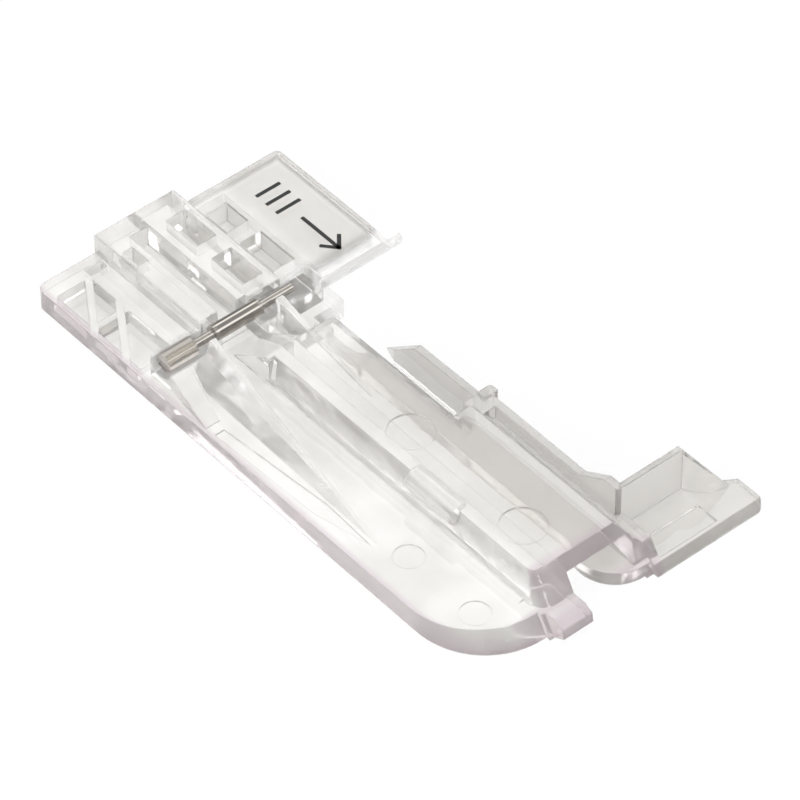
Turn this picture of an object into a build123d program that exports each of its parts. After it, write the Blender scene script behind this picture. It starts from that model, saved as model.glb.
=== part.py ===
from build123d import *
import math
import os

os.makedirs("parts", exist_ok=True)

# Whole sole, the toe points to -Y and the hinge pin lies on the X axis
LENGTH = 64.9
WIDTH = 34.0
PIN_TO_REAR = 17.5
PIN_TO_LEFT = 10.0
PIN_H = 4.6             # pin's axis above the underside
REAR = PIN_TO_REAR
TOE = REAR - LENGTH
LEFT = -PIN_TO_LEFT
RIGHT = LEFT + WIDTH

# Hinge pin, thick between the ears and thin inside them
BARE_LENGTH = 5.5
BARE_R = 0.85
JOURNAL_R = 0.5
JOURNAL_LENGTH = 4.1
NECK_LENGTH = 2.45
KNURL_R = 1.05
KNURL_LENGTH = 3.4
KNURL_COUNT = 12
KNURL_GROOVE = 0.34
PIN_CHAMFER = 0.1
PIN_CLEARANCE = 0.02    # radial, in the bores of the ears
END_CLEARANCE = 0.05    # at the ends of the stepped bores
BARE_RIGHT = BARE_LENGTH / 2
BARE_LEFT = -BARE_RIGHT
KNURL_RIGHT = BARE_LEFT - NECK_LENGTH
PIN_LEFT = KNURL_RIGHT - KNURL_LENGTH
PIN_RIGHT = BARE_RIGHT + JOURNAL_LENGTH

# Ears
EAR_R = 1.5
EAR_ROOT = 1.0
BOSS_WIDTH = 6.25
RIGHT_EAR_WIDTH = 6.65
BOSS_LEFT = BARE_LEFT - BOSS_WIDTH
WEDGE_WIDTH = 2.5
WEDGE_TOP = 4.2
WEDGE_REAR = -1.2
WEDGE_FRONT = -7.4
WEDGE_TURN = 0.8        # the wedge's front end lies this much further left
WEDGE_INSET = 0.1

# Plate
PLATE_T = 2.3
RAKE = 1.3              # the front edge leans back this much over the plate's thickness
CORNER_R = 8.0
REAR_CORNER_R = 1.0
WEDGE_LOW = PLATE_T + 0.1
TAB_OUT = 1.8           # the toe tab stands out this much from the front edge
FRONT = TOE + TAB_OUT
BASE_RIGHT = 10.95
BASE_FRONT = -2.6
BASE_STEP = 2.3
BASE_REAR = REAR - BASE_STEP
OVERLAP = 3.0

# Needle bay, open to the right
TRAY_WIDTH = 12.0
FENCE_OUT = RIGHT - TRAY_WIDTH
BAY_WIDTH = 4.7
BAY_LEFT = FENCE_OUT - BAY_WIDTH
BAY_FRONT = -9.4
BAY_R = 1.4

# Guide fence and the free fin behind it
FENCE_T = 0.8
FENCE_LOW = 4.35
FENCE_HIGH = 6.4
FIN_INSET = 0.7
FIN_OUT = FENCE_OUT - FIN_INSET
FIN_IN = FIN_OUT - FENCE_T
FIN_REAR = BAY_FRONT + 0.9
FIN_TIP_H = 0.2
FIN_SLOPE_RUN = 4.8
FIN_LOW = 4.15
FIN_BEVEL = 1.9

# Cover over the cord tunnel, wide in front and narrow behind
COVER_TOP = 5.7
COVER_LEFT = -1.6
COVER_ROOF_LEFT = -0.9
COVER_REAR = -6.3
COVER_FOOT_Y = TOE + 1.3
COVER_RUN = 3.3         # the cover's front leans back this much over its height
COVER_FRONT = COVER_FOOT_Y + COVER_RUN
COVER_LEAN = COVER_RUN / COVER_TOP
COVER_CORNER_R = 2.0
COVER_FOOT_R = 0.9
ROOF_R = 0.3
LEDGE_H = 2.9
LEDGE_WIDTH = 1.1
SLOPE_RUN = 2.2
SLOPE_FOOT = FENCE_OUT - LEDGE_WIDTH
ROOF_RIGHT = SLOPE_FOOT - SLOPE_RUN
WIDE_LENGTH = 24.0
WIDE_REAR = TOE + WIDE_LENGTH
NARROW_ROOF = 6.6
NARROW_FOOT = 8.9
RAMP_LEFT = COVER_LEFT
RAMP_REAR = -1.6
RAMP_LOW = 2.4
RAMP_LANDING = 0.5
HOOK_ROOM = 1.9         # free depth behind the pin's axis for the shank's hook

# Cord tunnel and the groove behind it
TUNNEL_LEFT = 2.4
TUNNEL_H = 4.2
TUNNEL_WALL = 0.8
TUNNEL_REAR = -5.5
GROOVE_H = 1.8
GROOVE_LEAN = 0.5
GROOVE_OVERLAP = 0.1

# Shoe along the right of the channel, its round nose is a little wider
SHOE_WIDTH = 4.4
SHOE_LEFT = SLOPE_FOOT - SHOE_WIDTH
SHOE_H = 1.5
NOSE_R = 4.1
NOSE_OUT = 0.6          # the nose stands out this much to the left of the shoe
SHOE_FRONT = FRONT - 0.2

# Toe tab
TAB_LEFT = -1.1
TAB_LENGTH = 3.9
TAB_RIGHT = TUNNEL_LEFT + 0.4
TAB_R = 0.4
TAB_TIP_H = 0.8
TAB_NOSE_H = 1.0
TAB_NOSE_RUN = 0.15
TAB_TOP_RUN = 1.1
TAB_SOLE_RUN = 1.4

# Tray at the right front
TRAY_FLOOR = 1.2
TRAY_FRONT = TOE + 0.7
TRAY_LENGTH = 6.7
TRAY_REAR = TRAY_FRONT + TRAY_LENGTH
TRAY_CORNER_R = 0.8
TRAY_WALL_T = 0.6
TRAY_WALL_H = 6.3
TRAY_EDGE_H = 0.15
TRAY_EDGE_RUN = 0.6
CURVE_INSET = 1.2
CURVE_BACK = 0.6
CURVE_IN_R = 3.8
CURVE_OUT_R = 2.9
CURVE_CORNER = 0.8      # cut-off corner of the floor behind the curved wall
RECESS_WIDTH = 7.0
RECESS_LENGTH = 2.6
RECESS_INSET = 1.0
RECESS_DEPTH = 0.25
FENCE_RISE_FROM = TRAY_REAR + 4.5
FENCE_RISE_TO = TRAY_REAR + 1.1

# Bridge between the cover and the fence, with its nub
FENCE_REAR = WIDE_REAR + 0.9
BRIDGE_WIDTH = 2.4
BRIDGE_LENGTH = 2.3
BRIDGE_OVERLAP = 0.6
NUB_WIDTH = 1.7
NUB_LENGTH = 1.0
NUB_R = 0.4
NUB_OUT = 0.6
NUB_H = 4.6
NUB_FRONT = FENCE_REAR - 0.2

# Rear block with its trough and pockets
BLOCK_LEFT = -2.9
BLOCK_RIGHT = 6.6
BLOCK_FRONT = 0.2
BLOCK_TOP = 4.8
BLOCK_R = 0.3
TROUGH_X = 0.5
TROUGH_WIDTH = 2.2
TROUGH_FLOOR = 2.4
TROUGH_WALL = 2.5
POCKET_X = 4.6
POCKET_Y = 8.8
POCKET_PITCH = 6.8
POCKET_WIDTH = 2.4
POCKET_LENGTH = 4.6
NOTCH_X = -1.8
NOTCH_Y = 12.6
NOTCH_WIDTH = 1.2
NOTCH_LENGTH = 2.4
WELL_X = 8.8
WELL_Y = 6.0
WELL_PITCH = 6.0
WELL_WIDTH = 2.6
WELL_LENGTH = 5.0
REAR_WELL_LENGTH = 3.2
WELL_FLOOR = 1.3

# Platform with the curled lip
DECK_TOP = 4.0
DECK_T = 1.2
DECK_RIGHT = 18.3
DECK_INSET = 1.6
DECK_REAR = REAR - DECK_INSET
DECK_FLOOR_DROP = 0.3   # the platform lies this much below its rim
RIM_WIDTH = 0.7
DECK_R = 0.6
LIP_START = 0.6
LIP_FRONT = -2.5
LIP_TOP = 6.0
LIP_T = 0.45
LIP_LEFT = 8.4

# Ribs from the ears, they run out to the front
RIB_REAR = -1.2
RIB_FOOT = -6.8
RIB_CREST = -4.1
RIB_CREST_T = 0.7
RIB_H = 5.5
RIB_TIP_X = -7.0
RIB_TIP_Y = TOE + 18.9
RIB_TIP_T = 0.2
THIN_RIB_LEFT = 3.9
THIN_RIB_T = 0.8
THIN_RIB_H = 5.9
THIN_RIB_TIP_X = 2.45
THIN_RIB_TIP_Y = -16.6
THIN_RIB_TIP_T = 0.2
THIN_RIB_TIP_H = COVER_TOP + 0.03
THIN_RIB_LEAN = 0.3

# Half-round ridge on the cover
RIDGE_X = -0.6
RIDGE_H = 4.85
RIDGE_R = 1.25
RIDGE_LENGTH = 6.7
RIDGE_REAR = TOE + 21.1
RIDGE_END = 0.5

# Trussed pocket along the rear left edge
TRUSS_EDGE = 0.7
TRUSS_WIDTH = 4.0
TRUSS_LENGTH = 12.6
TRUSS_FLOOR = 0.8
BAR_T = 0.75
BAR_ANGLE = 56.5
BAR_PITCH = 4.7
SLIT_X = -4.1
SLIT_WIDTH = 2.0
SLIT_LENGTH = 0.9
SLIT_EDGE = 1.25

# Ejector marks and the shallow tapered recess at the left edge
MARK_DEPTH = 0.12
ROOF_MARK_R = 2.3
ROOF_MARK_X = 2.3
ROOF_MARK_Y = TOE + 9.5
ROOF_MARK_PITCH = 15.5
PLATE_MARK_R = 1.5
PLATE_MARK_EDGE = 4.1
PLATE_MARK_Y = TOE + 6.6
PLATE_MARK_PITCH = 9.1
TAPER_DEPTH = 0.15
TAPER_EDGE = 0.5
TAPER_WIDTH = 1.1
TAPER_LENGTH = 13.5


def at(edges, axis, value):
    return edges.filter_by_position(axis, value - 0.01, value + 0.01)


def level(h):
    return Plane((0, 0, h - PIN_H))


def side(x):
    return Plane(origin=(x, 0, -PIN_H), x_dir=(0, 1, 0), z_dir=(1, 0, 0))


def section(y):
    return Plane(origin=(0, y, -PIN_H), x_dir=(1, 0, 0), z_dir=(0, -1, 0))


with BuildPart() as presser_sole:
    # Front of the plate, its corner and front edge lean back
    with BuildSketch(level(0)):
        with BuildLine():
            Polyline((LEFT, WIDE_REAR + OVERLAP), (LEFT, FRONT + CORNER_R))
            CenterArc((LEFT + CORNER_R, FRONT + CORNER_R), CORNER_R, 180, 90)
            Polyline(
                (LEFT + CORNER_R, FRONT), (TUNNEL_LEFT, FRONT), (TUNNEL_LEFT, WIDE_REAR + OVERLAP),
                (LEFT, WIDE_REAR + OVERLAP),
            )
        make_face()
    extrude(amount=math.hypot(PLATE_T, RAKE), dir=(0, RAKE, PLATE_T))
    # Rear of the plate with the step at its right edge
    with BuildSketch(level(0)):
        Polygon(
            (LEFT, REAR), (BLOCK_RIGHT, REAR), (BLOCK_RIGHT, BASE_REAR), (BASE_RIGHT, BASE_REAR),
            (BASE_RIGHT, BASE_FRONT), (NARROW_FOOT, BASE_FRONT), (NARROW_FOOT, WIDE_REAR - OVERLAP),
            (LEFT, WIDE_REAR - OVERLAP), align=None,
        )
    extrude(amount=PLATE_T)
    uprights = presser_sole.edges().filter_by(Axis.Z)
    fillet(at(at(uprights, Axis.X, LEFT), Axis.Y, REAR), radius=REAR_CORNER_R)

    # Cover, wide at the front and narrower towards the rear
    with BuildSketch(section(WIDE_REAR)):
        Polygon(
            (COVER_LEFT, 0), (COVER_LEFT, PLATE_T), (COVER_ROOF_LEFT, COVER_TOP),
            (ROOF_RIGHT, COVER_TOP), (SLOPE_FOOT, LEDGE_H), (FENCE_OUT, LEDGE_H),
            (FENCE_OUT, 0), align=None,
        )
    extrude(amount=WIDE_REAR - COVER_FOOT_Y)
    with BuildSketch(section(COVER_REAR)):
        Polygon(
            (COVER_LEFT, 0), (COVER_LEFT, PLATE_T), (COVER_ROOF_LEFT, COVER_TOP),
            (NARROW_ROOF, COVER_TOP), (NARROW_FOOT, PLATE_T), (NARROW_FOOT, 0), align=None,
        )
    extrude(amount=COVER_REAR - WIDE_REAR)
    # The cover's front leans back
    with BuildSketch(side(COVER_LEFT)):
        Polygon(
            (COVER_FOOT_Y, 0), (COVER_FRONT, COVER_TOP), (COVER_FOOT_Y, COVER_TOP), align=None,
        )
    extrude(amount=FENCE_OUT - COVER_LEFT, mode=Mode.SUBTRACT)
    # Rounded edges of the roof
    lengthwise = at(presser_sole.edges().filter_by(Axis.Y), Axis.Z, COVER_TOP - PIN_H)
    fillet(at(lengthwise, Axis.X, NARROW_ROOF) + at(lengthwise, Axis.X, ROOF_RIGHT), radius=ROOF_R)
    # Rounded front-left corner of the cover
    corner_x = COVER_LEFT + COVER_CORNER_R
    corner_y = COVER_FOOT_Y + COVER_LEAN * PLATE_T + COVER_CORNER_R
    with BuildSketch(level(PLATE_T)):
        with BuildLine():
            CenterArc((corner_x, corner_y), COVER_CORNER_R, 180, 90)
            Polyline(
                (corner_x, corner_y - COVER_CORNER_R), (corner_x, corner_y - 2 * COVER_CORNER_R),
                (corner_x - 2 * COVER_CORNER_R, corner_y - 2 * COVER_CORNER_R),
                (corner_x - 2 * COVER_CORNER_R, corner_y), (corner_x - COVER_CORNER_R, corner_y),
            )
        make_face()
    extrude(amount=COVER_TOP, dir=(0, COVER_LEAN, 1), mode=Mode.SUBTRACT)
    # Rounded foot of the cover's left wall
    foot_lean = COVER_FOOT_R * (COVER_ROOF_LEFT - COVER_LEFT) / (COVER_TOP - PLATE_T)
    with BuildSketch(section(COVER_REAR)):
        with BuildLine():
            ThreePointArc(
                (COVER_LEFT - COVER_FOOT_R, PLATE_T),
                (COVER_LEFT - COVER_FOOT_R * 0.2, PLATE_T + COVER_FOOT_R * 0.3),
                (COVER_LEFT + foot_lean, PLATE_T + COVER_FOOT_R),
            )
            Polyline(
                (COVER_LEFT + foot_lean, PLATE_T + COVER_FOOT_R), (COVER_LEFT + COVER_FOOT_R, PLATE_T),
                (COVER_LEFT, PLATE_T - COVER_FOOT_R), (COVER_LEFT - COVER_FOOT_R, PLATE_T),
            )
        make_face()
    extrude(amount=COVER_REAR - corner_y - ROOF_R)

    # Ramp from the cover's roof down between the ears
    with BuildSketch(side(RAMP_LEFT)):
        Polygon(
            (COVER_REAR - RAMP_LANDING, 0), (COVER_REAR - RAMP_LANDING, COVER_TOP),
            (COVER_REAR, COVER_TOP), (RAMP_REAR, RAMP_LOW), (RAMP_REAR, 0), align=None,
        )
    extrude(amount=BARE_RIGHT - RAMP_LEFT)

    # Needle bay with its rounded inner corner
    with BuildSketch(level(0)):
        with BuildLine():
            Polyline((FENCE_OUT, BAY_FRONT), (FENCE_OUT, BASE_FRONT), (BAY_LEFT, BASE_FRONT))
            Line((BAY_LEFT, BASE_FRONT), (BAY_LEFT, BAY_FRONT + BAY_R))
            CenterArc((BAY_LEFT + BAY_R, BAY_FRONT + BAY_R), BAY_R, 180, 90)
            Line((BAY_LEFT + BAY_R, BAY_FRONT), (FENCE_OUT, BAY_FRONT))
        make_face()
    extrude(amount=COVER_TOP, mode=Mode.SUBTRACT)

    # Toe tab, its underside rises to the front
    with BuildSketch(side(TAB_LEFT)):
        Polygon(
            (TOE + TAB_LENGTH, 0), (TOE + TAB_SOLE_RUN, 0), (TOE, TAB_TIP_H),
            (TOE + TAB_NOSE_RUN, TAB_TIP_H + TAB_NOSE_H), (TOE + TAB_TOP_RUN, PLATE_T),
            (TOE + TAB_LENGTH, PLATE_T), align=None,
        )
    extrude(amount=TAB_RIGHT - TAB_LEFT)
    tab_edges = at(presser_sole.edges(), Axis.X, TAB_RIGHT)
    fillet(tab_edges.filter_by_position(Axis.Y, TOE, TOE + TAB_TOP_RUN), radius=TAB_R)

    # Tray floor, cut away at the rear right round the curved wall
    curve_x = RIGHT - CURVE_INSET
    curve_y = TRAY_REAR + CURVE_BACK
    wall_front = TRAY_REAR - TRAY_WALL_T
    in_angle = math.degrees(math.asin((curve_y - wall_front) / CURVE_IN_R))
    out_angle = math.degrees(math.asin(CURVE_BACK / CURVE_OUT_R))
    in_x = curve_x - CURVE_IN_R * math.cos(math.radians(in_angle))
    out_x = curve_x - CURVE_OUT_R * math.cos(math.radians(out_angle))
    with BuildSketch(level(0)):
        with BuildLine():
            Polyline(
                (out_x, TRAY_REAR), (SLOPE_FOOT, TRAY_REAR), (SLOPE_FOOT, TRAY_FRONT),
                (RIGHT - TRAY_CORNER_R, TRAY_FRONT),
            )
            CenterArc((RIGHT - TRAY_CORNER_R, TRAY_FRONT + TRAY_CORNER_R), TRAY_CORNER_R, 270, 90)
            Polyline(
                (RIGHT, TRAY_FRONT + TRAY_CORNER_R), (RIGHT, curve_y - CURVE_OUT_R - CURVE_CORNER),
                (curve_x, curve_y - CURVE_OUT_R),
            )
            CenterArc((curve_x, curve_y), CURVE_OUT_R, 270, out_angle - 90)
        make_face()
    extrude(amount=TRAY_FLOOR)
    # Rear wall of the tray and its curved right wall
    with BuildSketch(level(0)):
        with BuildLine():
            Polyline(
                (out_x, TRAY_REAR), (FENCE_OUT - FENCE_T, TRAY_REAR),
                (FENCE_OUT - FENCE_T, wall_front), (in_x, wall_front),
            )
            CenterArc((curve_x, curve_y), CURVE_IN_R, 180 + in_angle, 90 - in_angle)
            Line((curve_x, curve_y - CURVE_IN_R), (curve_x, curve_y - CURVE_OUT_R))
            CenterArc((curve_x, curve_y), CURVE_OUT_R, 270, out_angle - 90)
        make_face()
    extrude(amount=TRAY_WALL_H)
    # The curved wall's top slants down to the floor
    with BuildSketch(section(TRAY_REAR + CURVE_BACK)):
        Polygon(
            (in_x, TRAY_WALL_H), (curve_x, TRAY_FLOOR),
            (RIGHT, TRAY_FLOOR), (RIGHT, TRAY_WALL_H), align=None,
        )
    extrude(amount=TRAY_LENGTH, mode=Mode.SUBTRACT)
    # Slope of the tray's front edge and the shallow recess in its floor
    with BuildSketch(side(SLOPE_FOOT)):
        Polygon(
            (TRAY_FRONT, TRAY_EDGE_H), (TRAY_FRONT + TRAY_EDGE_RUN, TRAY_FLOOR),
            (TRAY_FRONT, TRAY_FLOOR), align=None,
        )
    extrude(amount=RIGHT - SLOPE_FOOT, mode=Mode.SUBTRACT)
    with BuildSketch(level(TRAY_FLOOR)):
        with Locations((FENCE_OUT, TRAY_FRONT + RECESS_INSET)):
            Rectangle(RECESS_WIDTH, RECESS_LENGTH, align=(Align.MIN, Align.MIN))
    extrude(amount=-RECESS_DEPTH, mode=Mode.SUBTRACT)

    # Guide fence, low behind and rising to the tray
    with BuildSketch(side(FENCE_OUT - FENCE_T)):
        Polygon(
            (FENCE_REAR, 0), (FENCE_REAR, FENCE_LOW), (FENCE_RISE_FROM, FENCE_LOW),
            (FENCE_RISE_TO, FENCE_HIGH), (wall_front, FENCE_HIGH), (wall_front, 0), align=None,
        )
    extrude(amount=FENCE_T)
    # Free fin with its pointed rear end
    with BuildSketch(side(FIN_IN)):
        Polygon(
            (FIN_REAR, 0), (FIN_REAR, FIN_TIP_H), (FIN_REAR - FIN_SLOPE_RUN, FIN_LOW),
            (WIDE_REAR, FENCE_LOW), (WIDE_REAR, 0), align=None,
        )
    extrude(amount=FENCE_T)
    with BuildSketch(level(0)):
        Polygon((FIN_IN, FIN_REAR), (FIN_OUT, FIN_REAR), (FIN_IN, FIN_REAR - FIN_BEVEL), align=None)
    extrude(amount=FENCE_LOW, mode=Mode.SUBTRACT)
    # Bridge between the cover and the fence, and the nub on it
    with BuildSketch(level(0)):
        with Locations((FENCE_OUT - FENCE_T / 2, WIDE_REAR - BRIDGE_OVERLAP)):
            Rectangle(BRIDGE_WIDTH, BRIDGE_LENGTH, align=(Align.MAX, Align.MIN))
    extrude(amount=FENCE_LOW)
    with BuildSketch(level(0)):
        with Locations((FENCE_OUT + NUB_OUT, NUB_FRONT)):
            Rectangle(NUB_WIDTH, NUB_LENGTH, align=(Align.MAX, Align.MIN))
    extrude(amount=NUB_H)
    uprights = presser_sole.edges().filter_by(Axis.Z)
    nub_right = at(uprights, Axis.X, FENCE_OUT + NUB_OUT)
    fillet(at(nub_right, Axis.Y, NUB_FRONT + NUB_LENGTH), radius=NUB_R)

    # Rear block
    with BuildSketch(level(0)):
        with Locations((BLOCK_LEFT, BLOCK_FRONT)):
            Rectangle(BLOCK_RIGHT - BLOCK_LEFT, REAR - BLOCK_FRONT, align=(Align.MIN, Align.MIN))
    extrude(amount=BLOCK_TOP)
    block_rim = at(presser_sole.edges(), Axis.Z, BLOCK_TOP - PIN_H)
    fillet(at(block_rim, Axis.X, BLOCK_LEFT) + at(block_rim, Axis.Y, REAR), radius=BLOCK_R)
    # Platform and its curled lip
    deck_floor = DECK_TOP - DECK_FLOOR_DROP
    deck_under = DECK_TOP - DECK_T
    lip_run = LIP_START - LIP_FRONT
    with BuildSketch(side(BLOCK_RIGHT)):
        with BuildLine():
            Polyline(
                (LIP_START, deck_under), (DECK_REAR, deck_under),
                (DECK_REAR, deck_floor), (LIP_START, deck_floor),
            )
            ThreePointArc(
                (LIP_START, deck_floor),
                (LIP_START - lip_run / 2, deck_floor + (LIP_TOP - deck_floor) * 0.28),
                (LIP_FRONT + LIP_T, LIP_TOP),
            )
            ThreePointArc(
                (LIP_FRONT + LIP_T, LIP_TOP), (LIP_FRONT + LIP_T * 0.3, LIP_TOP - LIP_T * 0.3),
                (LIP_FRONT, LIP_TOP - LIP_T),
            )
            ThreePointArc(
                (LIP_FRONT, LIP_TOP - LIP_T),
                (LIP_START - lip_run * 0.66, deck_under + (LIP_TOP - deck_under) * 0.3),
                (LIP_START, deck_under),
            )
        make_face()
    extrude(amount=DECK_RIGHT - BLOCK_RIGHT)
    # The lip ends beside the right ear
    with BuildSketch(level(PLATE_T)):
        with Locations((BLOCK_RIGHT, BLOCK_FRONT)):
            Rectangle(LIP_LEFT - BLOCK_RIGHT, BLOCK_FRONT - LIP_FRONT, align=(Align.MIN, Align.MAX))
    extrude(amount=LIP_TOP, mode=Mode.SUBTRACT)
    # Rim along the rear and right edges of the platform
    with BuildSketch(level(deck_under)):
        with Locations((DECK_RIGHT, DECK_REAR)):
            Rectangle(RIM_WIDTH, DECK_REAR - LIP_START, align=(Align.MAX, Align.MAX))
            Rectangle(DECK_RIGHT - BLOCK_RIGHT, RIM_WIDTH, align=(Align.MAX, Align.MAX))
    extrude(amount=DECK_T)
    uprights = presser_sole.edges().filter_by(Axis.Z)
    fillet(at(at(uprights, Axis.X, DECK_RIGHT), Axis.Y, DECK_REAR), radius=DECK_R)
    # The part of the base that carries the platform
    with BuildSketch(level(PLATE_T)):
        with Locations((BLOCK_RIGHT, BLOCK_FRONT)):
            Rectangle(BASE_RIGHT - BLOCK_RIGHT, BASE_REAR - BLOCK_FRONT, align=(Align.MIN, Align.MIN))
    extrude(amount=deck_floor - PLATE_T)
    # Room for the hook round the pin
    with BuildSketch(level(RAMP_LOW)):
        with Locations((BARE_LEFT, HOOK_ROOM)):
            Rectangle(BARE_LENGTH, HOOK_ROOM - RAMP_REAR, align=(Align.MIN, Align.MAX))
    extrude(amount=BLOCK_TOP, mode=Mode.SUBTRACT)

    # Left and right ears with rounded tops round the pin
    for left, width in ((BOSS_LEFT, BOSS_WIDTH), (BARE_RIGHT, RIGHT_EAR_WIDTH)):
        with BuildSketch(side(left)):
            with BuildLine():
                Polyline((EAR_R, PIN_H), (EAR_R, EAR_ROOT), (-EAR_R, EAR_ROOT), (-EAR_R, PIN_H))
                CenterArc((0, PIN_H), EAR_R, 180, -180)
            make_face()
        extrude(amount=width)
    # Wedge in front of the left ear, it runs out on the plate
    wedge_left = BOSS_LEFT + WEDGE_INSET
    with BuildSketch(section(WEDGE_REAR)):
        with Locations((wedge_left, EAR_ROOT)):
            Rectangle(WEDGE_WIDTH, WEDGE_TOP - EAR_ROOT, align=(Align.MIN, Align.MIN))
    with BuildSketch(section(WEDGE_FRONT)):
        with Locations((wedge_left - WEDGE_TURN, EAR_ROOT)):
            Rectangle(WEDGE_WIDTH - WEDGE_TURN, WEDGE_LOW - EAR_ROOT, align=(Align.MIN, Align.MIN))
    loft(ruled=True)

    # Sloped rib from the left ear, it runs out on the plate
    rib_low = PLATE_T - RIB_TIP_T
    rib_tip = PLATE_T + RIB_TIP_T / 4
    with BuildSketch(section(RIB_REAR)):
        Polygon(
            (RIB_FOOT, rib_low), (RIB_CREST, RIB_H), (RIB_CREST + RIB_CREST_T, RIB_H),
            (RIB_CREST + RIB_CREST_T, rib_low), align=None,
        )
    with BuildSketch(section(RIB_TIP_Y)):
        Polygon(
            (RIB_TIP_X - 2 * RIB_TIP_T, rib_low), (RIB_TIP_X - RIB_TIP_T / 2, rib_tip),
            (RIB_TIP_X + RIB_TIP_T / 2, rib_tip), (RIB_TIP_X + 2 * RIB_TIP_T, rib_low), align=None,
        )
    loft(ruled=True)
    # Thin rib from the right ear, it runs out on the cover
    with BuildSketch(section(RIB_REAR)):
        Polygon(
            (THIN_RIB_LEFT - THIN_RIB_LEAN, EAR_ROOT), (THIN_RIB_LEFT, THIN_RIB_H),
            (THIN_RIB_LEFT + THIN_RIB_T, THIN_RIB_H), (THIN_RIB_LEFT + 2 * THIN_RIB_T, EAR_ROOT),
            align=None,
        )
    with BuildSketch(section(THIN_RIB_TIP_Y)):
        Polygon(
            (THIN_RIB_TIP_X - THIN_RIB_LEAN, EAR_ROOT), (THIN_RIB_TIP_X, THIN_RIB_TIP_H),
            (THIN_RIB_TIP_X + THIN_RIB_TIP_T, THIN_RIB_TIP_H), (THIN_RIB_TIP_X + THIN_RIB_T, EAR_ROOT),
            align=None,
        )
    loft(ruled=True)

    # Half-round ridge on the cover's left edge, tapered at its front end
    with BuildSketch(section(RIDGE_REAR)):
        with Locations((RIDGE_X, RIDGE_H)):
            Circle(RIDGE_R)
    extrude(amount=RIDGE_LENGTH - RIDGE_END)
    with BuildSketch(section(RIDGE_REAR - RIDGE_LENGTH + RIDGE_END)):
        with Locations((RIDGE_X, RIDGE_H)):
            Circle(RIDGE_R)
    extrude(amount=RIDGE_END, taper=45)

    # Cord tunnel under the cover, open below and at the front
    with BuildSketch(section(WIDE_REAR)):
        Polygon(
            (TUNNEL_LEFT, 0), (TUNNEL_LEFT, TUNNEL_H), (ROOF_RIGHT - TUNNEL_WALL, TUNNEL_H),
            (SLOPE_FOOT - TUNNEL_WALL, 0), align=None,
        )
    extrude(amount=WIDE_REAR - TOE, mode=Mode.SUBTRACT)
    with BuildSketch(section(TUNNEL_REAR)):
        Polygon(
            (TUNNEL_LEFT, 0), (TUNNEL_LEFT, TUNNEL_H), (NARROW_ROOF, TUNNEL_H),
            (NARROW_FOOT - TUNNEL_WALL, SHOE_H), (SHOE_LEFT, SHOE_H), (SHOE_LEFT, 0), align=None,
        )
    extrude(amount=TUNNEL_REAR - WIDE_REAR, mode=Mode.SUBTRACT)
    # Shoe inside the tunnel with its round nose
    nose_x = SHOE_LEFT - NOSE_OUT + NOSE_R
    nose_y = SHOE_FRONT + NOSE_R
    nose_angle = math.degrees(math.acos(1 - NOSE_OUT / NOSE_R))
    nose_rear = nose_y + NOSE_R * math.sin(math.radians(nose_angle))
    shoe_rear = WIDE_REAR + OVERLAP
    with BuildSketch(level(0)):
        with BuildLine():
            Polyline((SLOPE_FOOT, shoe_rear), (SHOE_LEFT, shoe_rear), (SHOE_LEFT, nose_rear))
            CenterArc((nose_x, nose_y), NOSE_R, 180 - nose_angle, 90 + nose_angle)
            Polyline((nose_x, SHOE_FRONT), (SLOPE_FOOT, SHOE_FRONT), (SLOPE_FOOT, shoe_rear))
        make_face()
    extrude(amount=SHOE_H)
    # Groove for the cord under the rear of the sole
    with BuildSketch(section(REAR)):
        Polygon(
            (TUNNEL_LEFT, 0), (TUNNEL_LEFT + GROOVE_LEAN, GROOVE_H),
            (SHOE_LEFT - GROOVE_LEAN, GROOVE_H), (SHOE_LEFT, 0), align=None,
        )
    extrude(amount=REAR - TUNNEL_REAR + GROOVE_OVERLAP, mode=Mode.SUBTRACT)

    # Trough for the shank in the rear block
    with BuildSketch(level(TROUGH_FLOOR)):
        with Locations((TROUGH_X, BLOCK_FRONT)):
            Rectangle(TROUGH_WIDTH, REAR - TROUGH_WALL - BLOCK_FRONT, align=(Align.CENTER, Align.MIN))
    extrude(amount=BLOCK_TOP, mode=Mode.SUBTRACT)
    # Pockets beside the trough
    with BuildSketch(level(TROUGH_FLOOR)):
        with Locations((POCKET_X, POCKET_Y - POCKET_PITCH / 2), (POCKET_X, POCKET_Y + POCKET_PITCH / 2)):
            Rectangle(POCKET_WIDTH, POCKET_LENGTH)
        with Locations((NOTCH_X, NOTCH_Y)):
            Rectangle(NOTCH_WIDTH, NOTCH_LENGTH)
    extrude(amount=BLOCK_TOP, mode=Mode.SUBTRACT)
    with BuildSketch(level(WELL_FLOOR)):
        with Locations((WELL_X, WELL_Y)):
            Rectangle(WELL_WIDTH, WELL_LENGTH)
        with Locations((WELL_X, WELL_Y + WELL_PITCH)):
            Rectangle(WELL_WIDTH, REAR_WELL_LENGTH)
    extrude(amount=BLOCK_TOP, mode=Mode.SUBTRACT)

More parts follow.
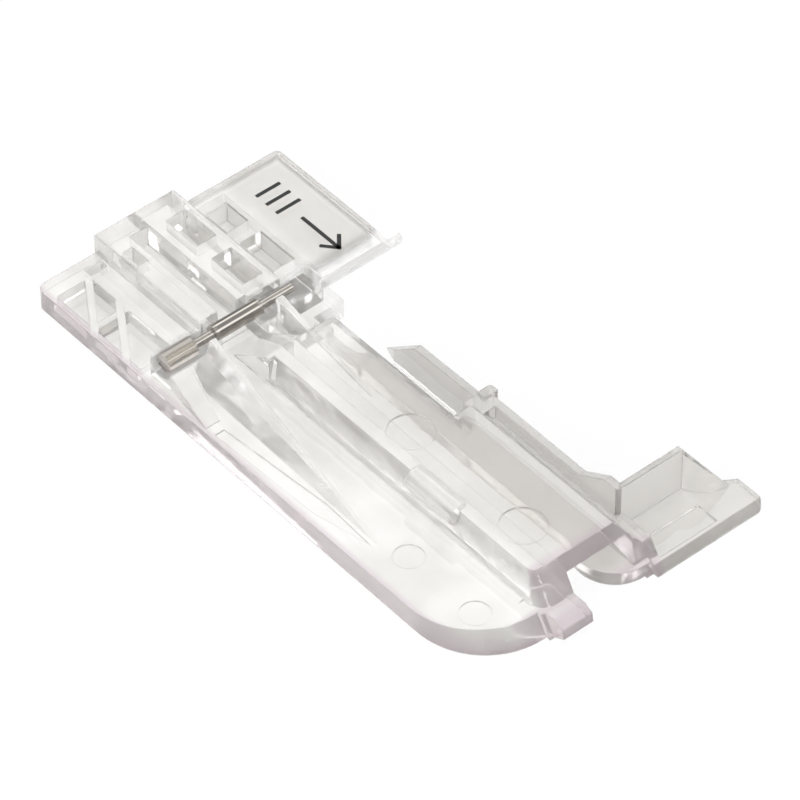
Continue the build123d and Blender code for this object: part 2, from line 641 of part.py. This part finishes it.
    # Trussed pocket along the rear left edge
    truss_x = LEFT + TRUSS_EDGE + TRUSS_WIDTH / 2
    truss_y = BASE_REAR - TRUSS_LENGTH / 2
    bar_y = BASE_REAR - TRUSS_LENGTH / 2 + BAR_T
    with BuildSketch(level(TRUSS_FLOOR)):
        with Locations((truss_x, truss_y)):
            Rectangle(TRUSS_WIDTH, TRUSS_LENGTH)
        with Locations((truss_x, bar_y)):
            Rectangle(TRUSS_WIDTH, BAR_T, mode=Mode.SUBTRACT)
        with Locations((truss_x, bar_y - BAR_PITCH * 0.4), (truss_x, bar_y + BAR_PITCH * 0.6)):
            Rectangle(2 * TRUSS_WIDTH, BAR_T, rotation=BAR_ANGLE, mode=Mode.SUBTRACT)
        with Locations((SLIT_X, REAR - SLIT_EDGE)):
            Rectangle(SLIT_WIDTH, SLIT_LENGTH, align=(Align.CENTER, Align.MAX))
    extrude(amount=PLATE_T, mode=Mode.SUBTRACT)

    # Ejector marks on the cover and on the plate
    with BuildSketch(level(COVER_TOP)):
        with Locations((ROOF_MARK_X, ROOF_MARK_Y), (ROOF_MARK_X, ROOF_MARK_Y + ROOF_MARK_PITCH)):
            Circle(ROOF_MARK_R)
    extrude(amount=-MARK_DEPTH, mode=Mode.SUBTRACT)
    mark_x = LEFT + PLATE_MARK_EDGE
    with BuildSketch(level(PLATE_T)):
        with Locations((mark_x, PLATE_MARK_Y), (mark_x, PLATE_MARK_Y + PLATE_MARK_PITCH)):
            Circle(PLATE_MARK_R)
    extrude(amount=-MARK_DEPTH, mode=Mode.SUBTRACT)
    # Shallow tapered recess from the wedge towards the rib's tip
    taper_left = LEFT + TAPER_EDGE
    taper_rear = WEDGE_FRONT - TAPER_WIDTH
    taper_front = taper_rear - TAPER_LENGTH
    with BuildSketch(level(PLATE_T)):
        Polygon(
            (taper_left, taper_rear), (taper_left + TAPER_WIDTH / 2, taper_front),
            (RIB_TIP_X - 3 * RIB_TIP_T, RIB_TIP_Y + RIB_TIP_T),
            (taper_left + 2 * TAPER_WIDTH, taper_front), (taper_left + TAPER_WIDTH, taper_rear),
            align=None,
        )
    extrude(amount=-TAPER_DEPTH, mode=Mode.SUBTRACT)

    # Stepped bore for the pin, open at the left and blind at the right
    with BuildSketch(side(BOSS_LEFT)):
        with Locations((0, PIN_H)):
            Circle(KNURL_R + PIN_CLEARANCE)
    extrude(amount=KNURL_RIGHT + END_CLEARANCE - BOSS_LEFT, mode=Mode.SUBTRACT)
    with BuildSketch(side(BOSS_LEFT)):
        with Locations((0, PIN_H)):
            Circle(BARE_R + PIN_CLEARANCE)
    extrude(amount=BARE_RIGHT - BOSS_LEFT, mode=Mode.SUBTRACT)
    with BuildSketch(side(BARE_RIGHT)):
        with Locations((0, PIN_H)):
            Circle(JOURNAL_R + PIN_CLEARANCE)
    extrude(amount=JOURNAL_LENGTH + END_CLEARANCE, mode=Mode.SUBTRACT)

presser_sole.part.label = "presser_sole"

with BuildPart() as hinge_pin:
    # Bare stretch between the ears
    with BuildSketch(side(BARE_LEFT)):
        with Locations((0, PIN_H)):
            Circle(BARE_R)
    extrude(amount=BARE_LENGTH)
    # Thin neck and journal
    with BuildSketch(side(KNURL_RIGHT)):
        with Locations((0, PIN_H)):
            Circle(JOURNAL_R)
    extrude(amount=PIN_RIGHT - KNURL_RIGHT)
    chamfer(hinge_pin.faces().sort_by(Axis.X)[-1].edges(), length=PIN_CHAMFER)
    # Knurled head with its grooves
    with BuildSketch(side(PIN_LEFT)):
        with Locations((0, PIN_H)):
            Circle(KNURL_R)
            with PolarLocations(KNURL_R, KNURL_COUNT):
                Rectangle(KNURL_GROOVE, KNURL_GROOVE, rotation=45, mode=Mode.SUBTRACT)
    extrude(amount=KNURL_LENGTH)

hinge_pin.part.label = "hinge_pin"

export_step(presser_sole.part, "parts/presser_sole.step")
export_step(hinge_pin.part, "parts/hinge_pin.step")
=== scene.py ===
import math

import bmesh
import bpy
from mathutils import Matrix, Vector


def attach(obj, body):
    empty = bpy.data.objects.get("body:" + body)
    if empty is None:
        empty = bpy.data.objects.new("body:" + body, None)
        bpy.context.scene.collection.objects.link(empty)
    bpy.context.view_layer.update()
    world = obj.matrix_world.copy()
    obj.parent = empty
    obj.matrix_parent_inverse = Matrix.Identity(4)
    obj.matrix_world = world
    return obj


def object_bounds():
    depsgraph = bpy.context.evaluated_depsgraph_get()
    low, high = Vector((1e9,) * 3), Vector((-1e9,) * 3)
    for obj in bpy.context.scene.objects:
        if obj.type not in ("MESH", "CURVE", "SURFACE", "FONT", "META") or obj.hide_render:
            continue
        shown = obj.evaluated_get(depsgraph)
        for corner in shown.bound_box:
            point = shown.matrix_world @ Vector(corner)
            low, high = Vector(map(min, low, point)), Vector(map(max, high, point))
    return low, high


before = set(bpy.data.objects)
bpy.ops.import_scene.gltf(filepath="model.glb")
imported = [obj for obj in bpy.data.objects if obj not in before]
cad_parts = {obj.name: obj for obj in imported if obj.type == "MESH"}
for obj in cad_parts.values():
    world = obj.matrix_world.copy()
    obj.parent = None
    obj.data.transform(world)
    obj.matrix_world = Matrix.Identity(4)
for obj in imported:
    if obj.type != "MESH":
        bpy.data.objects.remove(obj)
cad_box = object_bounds()

# The sole is one clear moulding in a hard, polished plastic, with faint waves and clouds in it.
# A lilac reflection is painted on its raked toe faces, and painted shade greys its thin right
# side and the part over the tunnel. The ears' round tops and the lip's curl are drawn clearer,
# and the bores' walls open, as the pin is pressed into them.


class Value:
    def __init__(self, finish, socket):
        self.finish = finish
        self.socket = socket

    def __add__(self, other):
        return self.finish.calc("ADD", self, other)

    def __radd__(self, other):
        return self.finish.calc("ADD", other, self)

    def __sub__(self, other):
        return self.finish.calc("SUBTRACT", self, other)

    def __rsub__(self, other):
        return self.finish.calc("SUBTRACT", other, self)

    def __mul__(self, other):
        return self.finish.calc("MULTIPLY", self, other)

    def __rmul__(self, other):
        return self.finish.calc("MULTIPLY", other, self)

    def __lt__(self, other):
        return self.finish.calc("LESS_THAN", self, other)


class Finish:
    def __init__(self, owner, shader="Principled BSDF"):
        owner.use_nodes = True
        self.owner = owner
        self.tree = owner.node_tree
        self.shader = self.tree.nodes[shader]

    def feed(self, terms, inputs):
        for name, term in terms.items():
            if isinstance(term, Value):
                self.tree.links.new(term.socket, inputs[name])
            else:
                inputs[name].default_value = term

    def node(self, kind, settings=None, terms=None, output=0):
        made = self.tree.nodes.new(kind)
        for name, setting in (settings or {}).items():
            if name == "stops":
                elements = made.color_ramp.elements
                for count, (position, tone) in enumerate(setting):
                    stop = elements[count] if count < 2 else elements.new(position)
                    stop.position = position
                    stop.color = (tone, tone, tone, 1.0)
            else:
                setattr(made, name, setting)
        self.feed(terms or {}, made.inputs)
        return Value(self, made.outputs[output])

    def calc(self, operation, *terms):
        return self.node("ShaderNodeMath", {"operation": operation}, dict(enumerate(terms)))

    def blend(self, share, first, second):
        colours = {0: share, 6: first, 7: second}
        return self.node("ShaderNodeMix", {"data_type": "RGBA"}, colours, 2)

    def set(self, terms):
        self.feed(terms, self.shader.inputs)

    def cover(self, share, layer):
        own = Value(self, self.shader.outputs[0])
        covered = self.node("ShaderNodeMixShader", {}, {0: share, 1: own, 2: layer})
        self.feed({"Surface": covered}, self.tree.nodes["Material Output"].inputs)


underside = cad_box[0][2]
plastic = Finish(bpy.data.materials.new("clear_plastic"))
place = plastic.node("ShaderNodeTexCoord", output="Object")
across, along, height = (
    plastic.node("ShaderNodeSeparateXYZ", {}, {"Vector": place}, axis) for axis in "XYZ"
)


def rise(value, low, high):
    smooth = {"interpolation_type": "SMOOTHSTEP"}
    ends = {"Value": value, "From Min": low, "From Max": high}
    return plastic.node("ShaderNodeMapRange", smooth, ends)


def distance(first, second):
    return plastic.calc("SQRT", first * first + second * second)


# Painted reflection: a lilac tint is painted into the base colour on the raked toe faces and the
# rounded front-left corner, up to its right limit.
TOE_RAKE = 0.58
TOE_FACE = (0.0450, 0.0458)
CORNER_X = -0.0020
CORNER_Y = -0.0376
CORNER_FACE = (0.0071, 0.0079)
PAINTED_REFLECTION_RIGHT = 0.0118
toe_depth = TOE_RAKE * (height - underside) - along
left_of_corner = plastic.calc("MINIMUM", across - CORNER_X, 0.0)
front_of_corner = plastic.calc("MINIMUM", along - CORNER_Y, 0.0)
corner = distance(left_of_corner, front_of_corner)
toe_reflection_faces = plastic.calc("MAXIMUM", rise(toe_depth, *TOE_FACE), rise(corner, *CORNER_FACE))
painted_lilac_reflection = toe_reflection_faces * (across < PAINTED_REFLECTION_RIGHT)

RIGHT_BORE = 0.00054
LEFT_BORE = 0.00089
HEAD_BORE = 0.00109
LEFT_EAR = -0.00276
HEAD_START = -0.00515
EAR_TOP = 0.00153
EAR_CLEARNESS = 0.85
CURL_FRONT = (-0.0036, -0.0026)
CURL_REAR = (0.0012, 0.0026)
CURL_LEFT = (0.0088, 0.0098)
CURL_CLEARNESS = 0.6
from_pin = distance(along, height)
left_step = (LEFT_BORE - RIGHT_BORE) * (across < LEFT_EAR)
head_step = (HEAD_BORE - LEFT_BORE) * (across < HEAD_START)
in_bore = from_pin < RIGHT_BORE + left_step + head_step
in_ear = from_pin < EAR_TOP
in_curl = rise(along, *CURL_FRONT) * (1.0 - rise(along, *CURL_REAR)) * rise(across, *CURL_LEFT)
drawn_clear = plastic.calc("MAXIMUM", in_ear * EAR_CLEARNESS, in_curl * CURL_CLEARNESS)
clearness = plastic.calc("MAXIMUM", in_bore, drawn_clear)

SWELLS_PER_METRE = 260.0
CLOUDS_PER_METRE = 140.0
CLOUD_EDGE = (0.35, 0.65)
HAZY = (0.78, 0.767, 0.745, 1.0)
CLEAR = (0.90, 0.89, 0.875, 1.0)
PAINTED_SHADE_GREY = (0.67, 0.652, 0.625, 1.0)
PAINTED_REFLECTION_TINT = (0.65, 0.585, 0.61, 1.0)
PAINTED_SHADE_SHARE = 0.8
TUNNEL_LEFT = (-0.0015, 0.0040)
TUNNEL_REAR = (0.008, 0.014)
RIGHT_SIDE = (0.0095, 0.0125)
LIP_FRONT = (-0.0040, -0.0028)
LIP_REAR = (0.0004, 0.0012)
swell_size = {"Vector": place, "Scale": SWELLS_PER_METRE, "Detail": 2.0}
cloud_size = {"Vector": place, "Scale": CLOUDS_PER_METRE, "Detail": 3.0}
swell = plastic.node("ShaderNodeTexNoise", {"noise_dimensions": "3D"}, swell_size)
cloud = plastic.node("ShaderNodeTexNoise", {"noise_dimensions": "3D"}, cloud_size)
# Painted shade: a darker grey is painted into the base colour over the tunnel and along the thin
# right side, though not at the lip.
shade_over_tunnel = rise(across, *TUNNEL_LEFT) * rise(0.0 - along, *TUNNEL_REAR)
at_lip = rise(along, *LIP_FRONT) * (1.0 - rise(along, *LIP_REAR))
shade_on_right = rise(across, *RIGHT_SIDE) * (1.0 - at_lip)
painted_shade = plastic.calc("MAXIMUM", shade_on_right, shade_over_tunnel)
clouded = plastic.blend(rise(cloud, *CLOUD_EDGE), HAZY, CLEAR)
painted_shade_colour = plastic.blend(painted_shade * PAINTED_SHADE_SHARE, clouded, PAINTED_SHADE_GREY)
rounded = plastic.node("ShaderNodeBevel", {"samples": 8}, {"Radius": 0.00017})
swollen = {"Strength": 0.12, "Distance": 0.0006, "Height": swell, "Normal": rounded}
plastic.set({
    "Base Color": plastic.blend(painted_lilac_reflection, painted_shade_colour, PAINTED_REFLECTION_TINT),
    "Roughness": 0.07,
    "IOR": 1.45,
    "Transmission Weight": 0.78,
    "Normal": plastic.node("ShaderNodeBump", {}, swollen),
})
plastic.cover(clearness, plastic.node("ShaderNodeBsdfTransparent"))
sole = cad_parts["presser_sole"]
sole.data.materials.clear()
sole.data.materials.append(plastic.owner)

# The hinge pin is a turned steel pin, bright and bare between the ears.
# Its left end is knurled and pressed into the sole.
steel = Finish(bpy.data.materials.new("steel"))
place = steel.node("ShaderNodeTexCoord", output="Object")
around_pin = {"Vector": place, "Scale": (3000.0, 400.0, 400.0)}
stretched = steel.node("ShaderNodeMapping", {}, around_pin)
turning = steel.node("ShaderNodeTexNoise", {}, {"Vector": stretched, "Scale": 1.0, "Detail": 3.0})
turned = {"Strength": 0.25, "Distance": 0.00002, "Height": turning}
steel.set({
    "Base Color": (0.46, 0.435, 0.40, 1.0),
    "Metallic": 1.0,
    "Roughness": 0.05 + turning * 0.06,
    "Normal": steel.node("ShaderNodeBump", {}, turned),
})
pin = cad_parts["hinge_pin"]
pin.data.materials.clear()
pin.data.materials.append(steel.owner)

# Black printed marks on the platform: an arrow that points to the toe and three short bars.
# They are thin strips of ink that lie on the plastic.
MM = 0.001
PLATFORM_FLOOR = 3.7
INK_THICK = 0.012
STROKE_WIDTH = 0.42
ARROW_X = 14.2
ARROW_TIP = 1.9
ARROW_TAIL = 7.2
BARB_ACROSS = 1.1
BARB_ALONG = 1.3
BAR_LEFT = 12.9
BAR_RIGHT = 15.5
FIRST_BAR = 9.4
BAR_STEP = 1.5
ink = Finish(bpy.data.materials.new("black_print"))
place = ink.node("ShaderNodeTexCoord", output="Object")
speckle = ink.node("ShaderNodeTexNoise", {}, {"Vector": place, "Scale": 4000.0, "Detail": 2.0})
ink.set({"Base Color": (0.012, 0.012, 0.012, 1.0), "Roughness": 0.4 + speckle * 0.2})
strokes = bmesh.new()


def stroke(start, end):
    run = Vector(end) - Vector(start)
    middle = (Vector(start) + Vector(end)) * MM / 2
    seat = Vector((middle.x, middle.y, underside + (PLATFORM_FLOOR + INK_THICK) * MM))
    size = Vector((run.length + STROKE_WIDTH * 0.9, STROKE_WIDTH, INK_THICK)) * MM
    turn = Matrix.Rotation(math.atan2(run.y, run.x), 4, "Z")
    bar = bmesh.ops.create_cube(strokes, size=1.0)["verts"]
    bmesh.ops.scale(strokes, vec=size, verts=bar)
    bmesh.ops.transform(strokes, matrix=Matrix.Translation(seat) @ turn, verts=bar)


stroke((ARROW_X, ARROW_TAIL), (ARROW_X, ARROW_TIP))
for side in (-1, 1):
    stroke((ARROW_X, ARROW_TIP), (ARROW_X + side * BARB_ACROSS, ARROW_TIP + BARB_ALONG))
for count in range(3):
    bar_y = FIRST_BAR + count * BAR_STEP
    stroke((BAR_LEFT, bar_y), (BAR_RIGHT, bar_y))
bmesh.ops.recalc_face_normals(strokes, faces=strokes.faces)
mesh = bpy.data.meshes.new("platform_print")
strokes.to_mesh(mesh)
strokes.free()
mesh.materials.append(ink.owner)
marks = bpy.data.objects.new("platform_print", mesh)
bpy.context.scene.collection.objects.link(marks)
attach(marks, "root")

# The floor is pale and matt, and stands just under the sole.
# The camera, gloss and the clear plastic see it nearly white, while it keeps the sole's shadow.
FLOOR_HALF = 1.5
FLOOR_GAP = 0.00005
FLOOR_WHITE = 0.92
WHITE = (1.0, 1.0, 1.0, 1.0)
stage = Finish(bpy.data.materials.new("studio_floor"))


def rays(finish, kind):
    return finish.node("ShaderNodeLightPath", output="Is %s Ray" % kind)


by_eye = stage.calc("MAXIMUM", rays(stage, "Camera"), rays(stage, "Transmission"))
seen = stage.calc("MAXIMUM", by_eye, rays(stage, "Glossy"))
stage.set({"Base Color": (0.86, 0.86, 0.86, 1.0), "Roughness": 0.9})
stage.cover(seen * FLOOR_WHITE, stage.node("ShaderNodeEmission", {}, {"Color": WHITE}))
sheet = bmesh.new()
bmesh.ops.create_grid(sheet, x_segments=1, y_segments=1, size=FLOOR_HALF)
bmesh.ops.translate(sheet, vec=(0, 0, underside - FLOOR_GAP), verts=sheet.verts)
mesh = bpy.data.meshes.new("floor")
sheet.to_mesh(mesh)
sheet.free()
mesh.materials.append(stage.owner)
floor = bpy.data.objects.new("floor", mesh)
bpy.context.scene.collection.objects.link(floor)

# The sky is plain and pale, and the camera and the clear plastic see it nearly white.
# Gloss sees it darker, with one bright band high up that gives the pin its two white bars.
SKY_LEVEL = 0.45
SKY_WHITE = 0.95
WINDOW_SHINE = 1.8
AWAY_FROM_WINDOW = 0.15
WINDOW = ((0.50, 0.0), (0.60, 1.0), (0.76, 1.0), (0.84, 0.1))
world = bpy.data.worlds.new("studio")
bpy.context.scene.world = world
sky = Finish(world, "Background")
white_sky = sky.calc("MAXIMUM", rays(sky, "Camera"), rays(sky, "Transmission"))
level = SKY_LEVEL + (SKY_WHITE - SKY_LEVEL) * white_sky
look = sky.node("ShaderNodeTexCoord", output="Generated")
look_up = sky.node("ShaderNodeSeparateXYZ", {}, {"Vector": look}, "Z")
window = sky.node("ShaderNodeValToRGB", {"stops": WINDOW}, {0: look_up})
shine = window * WINDOW_SHINE - AWAY_FROM_WINDOW
sky.set({"Color": WHITE, "Strength": rays(sky, "Glossy") * shine + level})

# Three soft round lights stand above, at the left and in front of the sole.
# The top one isn't mirrored in gloss, because the bright band of the sky stands there.


def soft_light(name, position, size, power, mirrored=True):
    lamp = bpy.data.lights.new(name, "AREA")
    lamp.shape = "DISK"
    lamp.size = size
    lamp.energy = power
    holder = bpy.data.objects.new(name, lamp)
    bpy.context.scene.collection.objects.link(holder)
    holder.visible_glossy = mirrored
    turn = Vector(position).normalized().to_track_quat("Z", "Y").to_matrix().to_4x4()
    holder.matrix_world = Matrix.Translation(position) @ turn


soft_light("top_light", (0.05, 0.05, 0.5), 0.35, 1.3, mirrored=False)
soft_light("left_light", (-0.45, -0.1, 0.3), 0.3, 1.6)
soft_light("front_light", (-0.1, -0.5, 0.2), 0.3, 1.5)

# The camera stands in front at the left and looks down at the sole.
# Its angle, lens and place follow from the sole's straight edges in the photograph.
AZIMUTH = math.radians(-40.53)
ELEVATION = math.radians(45.4)
CAMERA_PLACE = (-0.24877, -0.31453, 0.39582)
FOCAL_PIXELS = 6050.0
IMAGE_PIXELS = 800
SENSOR_WIDTH = 36.0
right = Vector((math.cos(AZIMUTH), math.sin(AZIMUTH), 0))
level_back = Vector((math.sin(AZIMUTH), -math.cos(AZIMUTH), 0))
back = level_back * math.cos(ELEVATION) + Vector((0, 0, math.sin(ELEVATION)))
up = back.cross(right)
lens = bpy.data.cameras.new("camera")
lens.sensor_width = SENSOR_WIDTH
lens.lens = FOCAL_PIXELS / IMAGE_PIXELS * SENSOR_WIDTH
lens.clip_start = 0.01
camera = bpy.data.objects.new("camera", lens)
bpy.context.scene.collection.objects.link(camera)
axes = Matrix((right, up, back)).transposed().to_4x4()
camera.matrix_world = Matrix.Translation(CAMERA_PLACE) @ axes
bpy.context.scene.camera = camera
bpy.context.scene.view_settings.view_transform = "Standard"
